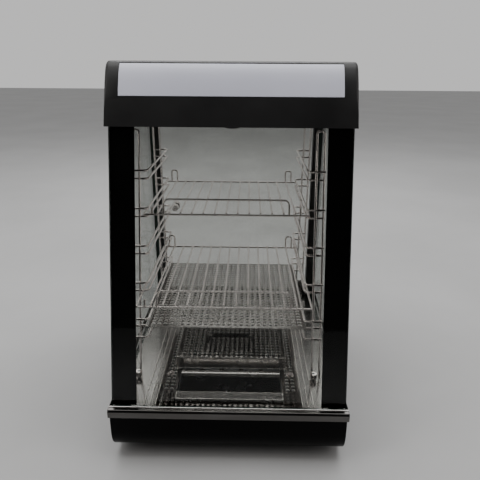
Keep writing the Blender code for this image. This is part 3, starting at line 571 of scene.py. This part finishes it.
def cover_sheet(low, high):
    """Perforated top with the pressed rectangle, and the four walls below it."""
    bm = bmesh.new()
    x0, y0, nx, ny = perforated(bm, (low.x, high.x), (low.y, high.y), (high.z - COVER_SHEET, high.z),
                                HOLE_PITCH, HOLE_R, near_recess)
    bmesh.ops.remove_doubles(bm, verts=bm.verts, dist=WELD)
    middle = [(span[0] + span[1]) / 2 for span in RECESS]
    cols = [i for i in range(nx) if near_recess(x0 + HOLE_PITCH * (i + 0.5), middle[1])]
    rows = [j for j in range(ny) if near_recess(middle[0], y0 + HOLE_PITCH * (j + 0.5))]
    hole = (x0 + HOLE_PITCH * cols[0], x0 + HOLE_PITCH * (cols[-1] + 1),
            y0 + HOLE_PITCH * rows[0], y0 + HOLE_PITCH * (rows[-1] + 1))
    recess_sheet(bm, hole, high.z)
    walls = (low.z, high.z - COVER_SHEET * 0.5)
    for x in (low.x, high.x - COVER_SHEET):
        box(bm, (x, x + COVER_SHEET), (low.y, high.y), walls)
    for y in (low.y, high.y - COVER_SHEET):
        box(bm, (low.x, high.x), (y, y + COVER_SHEET), walls)
    return bm


def build_cover():
    """Heater cover: sheet, with front face and turned-over hems brightened as painted highlights."""
    low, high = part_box("element_cover")
    sheet = painted_hole_sheen(link("cover_sheet", cover_sheet(low, high), MATS["mirror"], CRISP))
    finish(sheet, "heater_cover", "stainless", "element_cover")
    # Front face and hems: the cover's own steel brightened as painted highlights.
    front = box(bmesh.new(), (low.x + HEM_R, high.x - HEM_R), (low.y - FACE_PROUD, low.y + FACE_BACK),
                (low.z + FACE_FOOT, high.z - FACE_TOP))
    finish(soften(link("cover_front_face", front, MATS["rolled"]), 0.0004), "heater_cover", "stainless")
    hems = bmesh.new()
    foot, top = low.z + HEM_R, high.z - HEM_R
    for z in (foot, top):
        wire(hems, [(low.x, low.y, z), (high.x, low.y, z)], HEM_R)
    for x in (low.x, high.x):
        wire(hems, [(x, low.y, foot), (x, low.y, top)], HEM_R)
        wire(hems, [(x, low.y, top), (x, high.y, top)], HEM_R)
    finish(link("cover_hems", hems, MATS["rolled"], ROUND), "heater_cover", "stainless")


def rounded_outline(x0, x1, y0, y1, radius, steps=4):
    """Rectangle with round corners, as points."""
    centres = [(x1 - radius, y1 - radius, 0), (x0 + radius, y1 - radius, 90),
               (x0 + radius, y0 + radius, 180), (x1 - radius, y0 + radius, 270)]
    points = []
    for cx, cy, start in centres:
        for k in range(steps + 1):
            angle = radians(start + 90 * k / steps)
            points.append((cx + radius * cos(angle), cy + radius * sin(angle)))
    return points


def recess_sheet(bm, hole, top):
    """Plain square set in the perforations, pressed down inside a rounded rectangle."""
    (left, right), (front, rear) = RECESS
    inner = rounded_outline(left, right, front, rear, RECESS_CORNER)
    outer = rounded_outline(*hole, SQUARE_CORNER)
    pressed = rounded_outline(left + RECESS_WALL, right - RECESS_WALL, front + RECESS_WALL,
                              rear - RECESS_WALL, RECESS_BOTTOM_CORNER)
    levels = []
    for shift in (0.0, -COVER_SHEET):
        rings = [(outer, top + shift), (inner, top + shift), (pressed, top + shift - RECESS_DEPTH)]
        levels.append([[bm.verts.new((p[0], p[1], z)) for p in ring] for ring, z in rings])
    count = len(inner)
    for rings in levels:
        for one, two in zip(rings, rings[1:]):
            for k in range(count):
                n = (k + 1) % count
                bm.faces.new((one[k], one[n], two[n], two[k]))
        bm.faces.new(rings[-1])
    for k in range(count):
        n = (k + 1) % count
        bm.faces.new((levels[0][0][k], levels[0][0][n], levels[1][0][n], levels[1][0][k]))


def build_floor():
    """Floor sheet: holes beside the opening, folded rims, plain bands outside them."""
    low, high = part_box("floor_pan")
    z = (FLOOR_TOP - FLOOR_SHEET, FLOOR_TOP)
    inner = RIM_LINES[0]
    bm = bmesh.new()
    for side in (-1, 1):
        x = sorted((side * WELL_HALF_W, side * inner))
        perforated(bm, x, WELL_Y, z, HOLE_PITCH, HOLE_R)
        box(bm, sorted((side * FRONT_ROW_HALF_W, side * inner)), (FRONT_ROW_Y[0], WELL_Y[0]), z)
    box(bm, (-FRONT_ROW_HALF_W, FRONT_ROW_HALF_W), (FRONT_ROW_Y[1], WELL_Y[0]), z)
    perforated(bm, (-FRONT_ROW_HALF_W, FRONT_ROW_HALF_W), FRONT_ROW_Y, z, HOLE_PITCH, HOLE_R)
    box(bm, (-inner, inner), (low.y, FRONT_ROW_Y[0]), z)
    box(bm, (-inner, inner), (WELL_Y[1], high.y), z)
    floor = painted_hole_sheen(link("floor_sheet", bm, MATS["mirror"], CRISP, WELD))
    finish(floor, "case", "stainless", "floor_pan")
    bands = bmesh.new()
    for side, edge in ((-1, low.x), (1, high.x)):
        box(bands, sorted((side * inner, edge)), (low.y, high.y), z)
        box(bands, sorted((edge, edge - side * FLOOR_SHEET)), (low.y, high.y), (low.z, z[0]))
    finish(link("floor_side_bands", bands, MATS["stainless"], CRISP), "case", "stainless")
    for side, name in ((-1, "left"), (1, "right")):
        # Folded rims brightened as painted highlights along the floor.
        rims = bmesh.new()
        for line in RIM_LINES:
            x = sorted((side * line, side * (line + RIM_WIDTH)))
            box(rims, x, (RIM_FRONT_Y, high.y - RIM_REAR_GAP), (FLOOR_TOP, FLOOR_TOP + RIM_RISE))
        finish(soften(link("floor_rims_" + name, rims, MATS["rolled"]), 0.0005), "case", "stainless")


# ---------------------------------------------------------------- glass and header

def pane_with_edges(node, mat):
    """Clear faces with the dark green cut edges that thick glass shows."""
    obj = link(node + "_pane", merged_faces(node), MATS[mat], 0)
    obj.data.materials.append(MATS["glass_edge"])
    through = max(obj.data.polygons, key=lambda p: p.area).normal.copy()
    for p in obj.data.polygons:
        p.material_index = 0 if abs(p.normal.dot(through)) > 0.9 else 1
    return finish(obj, BODY_OF[node], "clear_glass", node)


def build_lens():
    """Curved opal light panel, thin at its rim."""
    back = [(y + LENS_THICK[0], z - LENS_THICK[1]) for y, z in reversed(LENS_FACE)]
    back[-1] = (LENS_FACE[0][0] + LENS_THICK[0], LENS_FACE[0][1])
    low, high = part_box("light_diffuser")
    bm = prism(bmesh.new(), list(LENS_FACE) + back, "X", low.x, high.x)
    obj = soften(link("lens_panel", bm, MATS["opal"], CRISP), 0.0006)
    finish(obj, "case", "opal", "light_diffuser")


# Width of the rounded edges on each piece that keeps its CAD shape.
PLAIN = {
    "front_fascia": 0.0004, "trim_ledge": 0.0007, "bottom_plate": 0.0003, "heater_well": 0.0,
    "well_support": 0.0004, "heating_element": 0.0, "element_bracket": 0.0004, "control_panel": 0.0004,
    "thermostat_body": 0.0010, "thermostat_shaft": 0.0004, "thermostat_knob": 0.0010,
    "switch_housing_heat": 0.0005, "switch_housing_light": 0.0005, "switch_rocker_heat": 0.0007,
    "switch_rocker_light": 0.0007, "indicator_lamp": 0.0008, "cord_gland": 0.0010, "terminal_block": 0.0008,
    "header_shell": 0.0006, "header_ceiling": 0.0003, "glass_retainer": 0.0004, "lamp_holder_left": 0.0010,
    "lamp_holder_right": 0.0010, "light_reflector": 0.0003, "light_tube": 0.0008, "rear_rail_top": 0.0006,
    "rear_rail_bottom": 0.0006, "door_clamp_lower": 0.0004, "door_clamp_upper": 0.0004,
    "door_knob_inner": 0.0012, "door_knob_outer": 0.0015, "base_side_left": 0.0004,
    "base_side_right": 0.0004, "front_post_left": 0.0008, "front_post_right": 0.0008,
    "rear_post_left": 0.0010, "rear_post_right": 0.0010, "rack_stud_left": 0.0004,
    "rack_stud_right": 0.0004, "foot_front_left": 0.0015, "foot_front_right": 0.0015,
    "foot_rear_left": 0.0015, "foot_rear_right": 0.0015,
}


def build_plain_pieces():
    for node, width in PLAIN.items():
        refined(node, "trim" if node == "trim_ledge" else None, width)


def build_trough():
    """Trough with its flat lip framed by turned-over hems, and the tube along its rear edge; trough, tube and
    hems are steel brightened as a painted highlight.
    """
    refined("water_trough", "rolled", 0.0003)
    front, rear, z, half = LIP_Y[0], LIP_Y[1], LIP_TOP - HEM_R, WELL_HALF_W
    frame_wires = bmesh.new()
    for y in (front, rear):
        wire(frame_wires, [(-half, y, z), (half, y, z)], HEM_R)
    for x in (-half, half):
        wire(frame_wires, [(x, front, z), (x, rear, z)], HEM_R)
    finish(link("trough_hems", frame_wires, MATS["rolled"], ROUND), "humidity_trough", "stainless")
    panel = box(bmesh.new(), (-half + LIP_INSET, half - LIP_INSET), (front + LIP_INSET, rear - LIP_INSET),
                (LIP_TOP, LIP_TOP + LIP_FACE))
    finish(link("trough_lip_face", panel, MATS["stainless"], CRISP), "humidity_trough", "stainless")


def build_trim_hem():
    """Thin hem along the top front edge of the trim, brightened as a painted highlight."""
    low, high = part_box("trim_ledge")
    line = wire(bmesh.new(), [(low.x, *TRIM_HEM), (high.x, *TRIM_HEM)], HEM_R)
    finish(link("trim_hem", line, MATS["rolled"], ROUND), "case", "stainless")


def build_borders():
    for name in ("left", "right"):
        refined("glass_border_" + name, "black_print")


def build_thumb_nut(side, name):
    """Knurled nut on the levelling stud."""
    cx = RACK_X + side * NUT_DX
    cy = rack_front(NUT_Z[0]) + LEG_SHIFT
    teeth, rings = NUT_TEETH, []
    bm = bmesh.new()
    foot, top = NUT_Z
    levels = ((foot, 0.92), (foot + NUT_CHAMFER, 1.0), (top - NUT_CHAMFER, 1.0), (top, 0.92))
    profile = [(z, NUT_R * scale, NUT_CUT) for z, scale in levels]
    profile += [(top, NUT_BORE_R, 0.0), (foot, NUT_BORE_R, 0.0)]
    for z, radius, cut in profile:
        ring = []
        for k in range(teeth):
            angle = 2 * pi * k / teeth
            reach = radius - (cut if k % 2 else 0.0)
            ring.append(bm.verts.new((cx + reach * cos(angle), cy + reach * sin(angle), z)))
        rings.append(ring)
    for one, two in zip(rings, rings[1:] + rings[:1]):
        for k in range(teeth):
            n = (k + 1) % teeth
            bm.faces.new((one[k], one[n], two[n], two[k]))
    finish(link("knurled_nut_" + name, bm, MATS["chrome"], CRISP), name + "_thumb_nut", "chrome",
           "thumb_nut_" + name)


def build_floor_bolts():
    """Hexagon screws that hold the floor sheet beside the trough."""
    for x, name in BOLTS:
        bm = upright_rod(bmesh.new(), (x, BOLT_Y), BOLT_R, (FLOOR_TOP, FLOOR_TOP + BOLT_H), 6)
        upright_rod(bm, (x, BOLT_Y), WASHER_R, (FLOOR_TOP, FLOOR_TOP + WASHER_H), 28)
        finish(soften(link("floor_screw_" + name, bm, MATS["chrome"], CRISP), 0.0004), "case", "zinc")


# ---------------------------------------------------------------- stage, light and camera

# Name, place, target, size, power and colour.
LIGHTS = (
    ("ceiling", (0.0, 0.3, 2.6), (0, 0.1, 0), (3.0, 2.4), 60, (1, 1, 1)),
    ("window", (-1.7, -1.0, 1.5), (0, 0, 0.3), (0.35, 1.4), 9, (1.0, 0.97, 0.93)),
    ("rear strip", (0.0, 2.2, 1.9), (0, 0, 0.25), (2.4, 0.5), 14, (1, 1, 1)),
    ("fill", (1.8, -0.6, 0.9), (0, 0, 0.25), (0.4, 1.2), 5, (1.0, 0.94, 0.90)),
)
STAGE_HALF = 12
WORLD_COLOR, WORLD_DIM, WORLD_BRIGHT = (0.97, 0.965, 0.96, 1), 0.03, 0.68

# Camera: turn, tilt and roll in radians, place in metres, lens in millimetres.
CAMERA_YAW, CAMERA_PITCH, CAMERA_ROLL = -0.0159, 0.3453, 0.0065
CAMERA_PLACE, LENS_MM, SENSOR_MM = (0.0269, -0.8656, 0.6082), 36.75, 36.0


def area_light(name, place, target, size, power, color):
    data = bpy.data.lights.new(name, "AREA")
    data.shape = "RECTANGLE"
    data.size, data.size_y = size
    data.energy = power
    data.color = color
    lamp = bpy.data.objects.new(name, data)
    lamp.location = place
    lamp.rotation_euler = (Vector(target) - Vector(place)).to_track_quat("-Z", "Y").to_euler()
    bpy.context.scene.collection.objects.link(lamp)


def build_world():
    """Sky that is dim in front of the case and bright behind it."""
    world = bpy.data.worlds.new("studio")
    world.use_nodes = True
    tree = world.node_tree
    where = tree.nodes.new("ShaderNodeTexCoord")
    split = tree.nodes.new("ShaderNodeSeparateXYZ")
    ramp = tree.nodes.new("ShaderNodeMapRange")
    ramp.inputs["From Min"].default_value = -0.85
    ramp.inputs["From Max"].default_value = 0.25
    ramp.inputs["To Min"].default_value = WORLD_DIM
    ramp.inputs["To Max"].default_value = WORLD_BRIGHT
    ramp.interpolation_type = "SMOOTHSTEP"
    tree.links.new(where.outputs["Generated"], split.inputs["Vector"])
    tree.links.new(split.outputs["Y"], ramp.inputs["Value"])
    tree.links.new(ramp.outputs["Result"], tree.nodes["Background"].inputs["Strength"])
    tree.nodes["Background"].inputs["Color"].default_value = WORLD_COLOR
    bpy.context.scene.world = world


def build_stage():
    """Pale floor, sky and lamps."""
    floor_mat = surface("pale floor", (0.42, 0.42, 0.42), (0.47, 0.47, 0.47), (0.75, 0.9), scale=2.0)
    bm = bmesh.new()
    bm.faces.new([bm.verts.new((x * STAGE_HALF, y * STAGE_HALF, 0.0))
                  for x, y in ((-1, -1), (1, -1), (1, 1), (-1, 1))])
    floor = link("floor", bm, floor_mat, 0)
    floor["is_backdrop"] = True
    build_world()
    for lamp in LIGHTS:
        area_light(*lamp)


def build_camera():
    """Camera standing where the photo was taken."""
    yaw, pitch, roll = CAMERA_YAW, CAMERA_PITCH, CAMERA_ROLL
    forward = Vector((sin(yaw) * cos(pitch), cos(yaw) * cos(pitch), -sin(pitch)))
    right = Vector((cos(yaw), -sin(yaw), 0))
    up = right.cross(forward)
    right, up = right * cos(roll) + up * sin(roll), up * cos(roll) - right * sin(roll)
    data = bpy.data.cameras.new("photo_view")
    data.sensor_width = SENSOR_MM
    data.lens = LENS_MM
    data.clip_start = 0.02
    camera = bpy.data.objects.new("photo_view", data)
    matrix = Matrix((right, up, -forward)).transposed().to_4x4()
    matrix.translation = Vector(CAMERA_PLACE)
    camera.matrix_world = matrix
    bpy.context.scene.collection.objects.link(camera)
    bpy.context.scene.camera = camera


def build():
    build_plain_pieces()
    build_trough()
    build_trim_hem()
    build_borders()
    for side, name in ((-1, "left"), (1, "right")):
        build_rack(side, name)
        build_thumb_nut(side, name)
        pane_with_edges("side_glass_" + name, "side_glass")
    build_shelf("wire_shelf_upper", "upper_shelf", UPPER_SHELF)
    build_shelf("wire_shelf_lower", "lower_shelf", LOWER_SHELF)
    build_tray()
    build_cover()
    build_floor()
    build_floor_bolts()
    pane_with_edges("front_glass", "clear_glass")
    pane_with_edges("rear_door_glass", "clear_glass")
    build_lens()
    build_stage()
    build_camera()


build()


def plain(value):
    return [plain(v) for v in value] if hasattr(value, "__len__") else float(value)


{"cad": plain(CAD_BOX), "visual": plain(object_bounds())}
